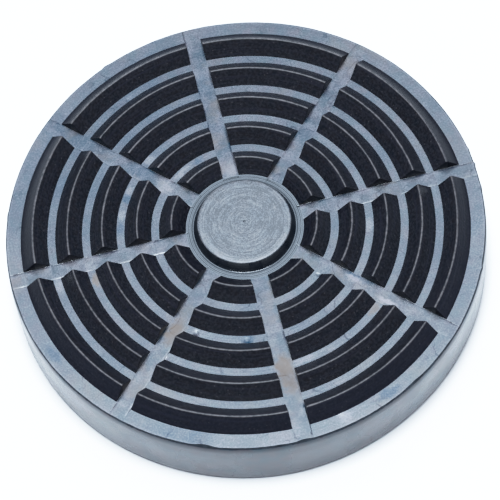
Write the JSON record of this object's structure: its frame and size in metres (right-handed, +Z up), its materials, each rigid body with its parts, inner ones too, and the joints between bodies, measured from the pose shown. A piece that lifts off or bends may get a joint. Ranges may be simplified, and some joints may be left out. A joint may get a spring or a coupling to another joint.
{
  "type": "rubber jack pad",
  "caption": "Round rubber pad for a vehicle lift or jack, with rings of roof-shaped ribs parted by straight spokes round a low centre boss, and a plain flat underside.",
  "frame": {"origin": "middle of the flat underside, on the disc's axis", "axes": "+Z up through the centre boss, out of the ribbed face; +X along one of the spokes"},
  "size_m": [0.12, 0.12, 0.0213],
  "materials": {
    "black_rubber": "moulded, satin"
  },
  "bodies": {
    "root": {"jack_pad": "black_rubber"}
  },
  "joints": []
}
